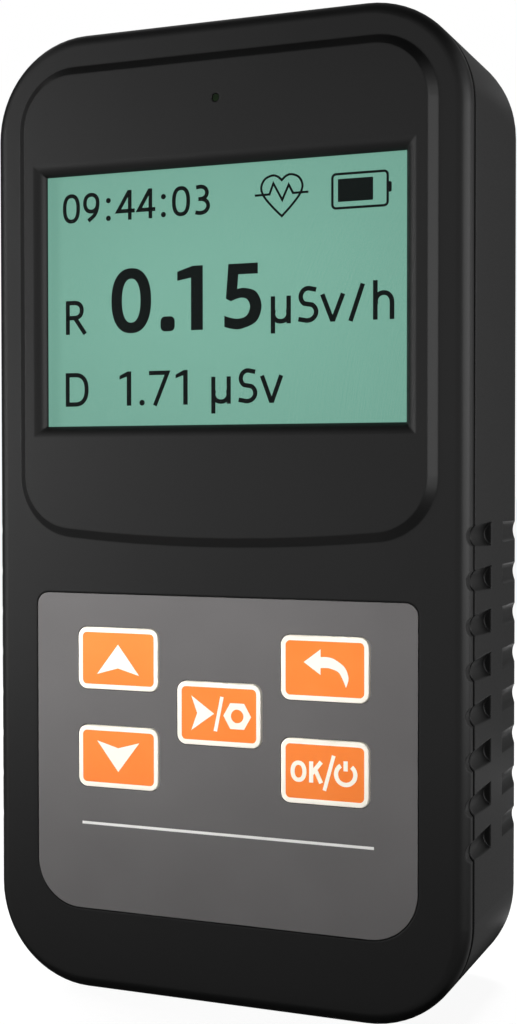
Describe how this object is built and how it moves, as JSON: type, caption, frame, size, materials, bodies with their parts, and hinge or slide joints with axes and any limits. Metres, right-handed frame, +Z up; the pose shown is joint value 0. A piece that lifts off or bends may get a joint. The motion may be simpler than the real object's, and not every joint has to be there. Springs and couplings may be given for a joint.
{
  "type": "geiger counter",
  "caption": "Hand-held radiation meter: black two-shell case with scalloped grips, raised bezel round a recessed display, sprung orange keys, and a counter tube, board and battery inside.",
  "frame": {"origin": "centre of the bottom end, under the middle of the bounding box, with the meter standing upright", "axes": "+Z up along the height, +X to the right as seen from the front, +Y from the display to the back"},
  "size_m": [0.062, 0.0272, 0.12],
  "materials": {
    "case_plastic": "fine moulded texture, soft black",
    "window_acrylic": "clear, polished",
    "display_glass": "pale teal display with dark figures",
    "backlight_white": "white light guide",
    "tinned_steel": "tinned",
    "overlay_film": "grey printed film, satin",
    "key_orange": "orange with a printed white border and symbol",
    "inner_black": "moulded black",
    "board_green": "green solder mask",
    "tube_glass": "clear glass",
    "tube_metal": "plain",
    "clip_brass": "spring brass",
    "component_tan": "ceramic chips",
    "battery_foil": "laminated foil pouch",
    "foam_tape": "soft foam",
    "lead_red": "insulated wire",
    "connector_white": "moulded",
    "lamp_clear": "smoked clear"
  },
  "bodies": {
    "case": {"front_case": "case_plastic", "rear_case": "case_plastic", "display_window": "window_acrylic", "lcd_glass": "display_glass", "lcd_backlight": "backlight_white", "lcd_pins": "tinned_steel", "switch_covers": "tinned_steel", "board_screws": "tinned_steel", "case_screws": "tinned_steel", "usb_socket": "tinned_steel", "vibration_motor": "tinned_steel", "keypad_overlay": "overlay_film", "tact_switches": "inner_black", "hv_transformer": "inner_black", "microcontroller": "inner_black", "buzzer": "inner_black", "usb_tongue": "inner_black", "main_board": "board_green", "tube_glass": "tube_glass", "tube_cathode": "tube_metal", "tube_anode": "tube_metal", "tube_caps": "tube_metal", "tube_clips": "clip_brass", "board_components": "component_tan", "battery": "battery_foil", "battery_tape": "foam_tape", "battery_leads": "lead_red", "battery_connector": "connector_white", "indicator_led": "lamp_clear", "light_pipe": "lamp_clear"},
    "up_button": {"up_key": "key_orange", "up_plunger": "inner_black"},
    "down_button": {"down_key": "key_orange", "down_plunger": "inner_black"},
    "set_button": {"set_key": "key_orange", "set_plunger": "inner_black"},
    "back_button": {"back_key": "key_orange", "back_plunger": "inner_black"},
    "ok_button": {"ok_key": "key_orange", "ok_plunger": "inner_black"}
  },
  "joints": [
    {"name": "up_key_press", "type": "slide", "parent": "case", "child": "up_button", "axis": [0, 1, 0], "range_m": [0, 0.0004], "stiffness_N_per_m": 4000},
    {"name": "down_key_press", "type": "slide", "parent": "case", "child": "down_button", "axis": [0, 1, 0], "range_m": [0, 0.0004], "stiffness_N_per_m": 4000},
    {"name": "set_key_press", "type": "slide", "parent": "case", "child": "set_button", "axis": [0, 1, 0], "range_m": [0, 0.0004], "stiffness_N_per_m": 4000},
    {"name": "back_key_press", "type": "slide", "parent": "case", "child": "back_button", "axis": [0, 1, 0], "range_m": [0, 0.0004], "stiffness_N_per_m": 4000},
    {"name": "ok_key_press", "type": "slide", "parent": "case", "child": "ok_button", "axis": [0, 1, 0], "range_m": [0, 0.0004], "stiffness_N_per_m": 4000}
  ]
}
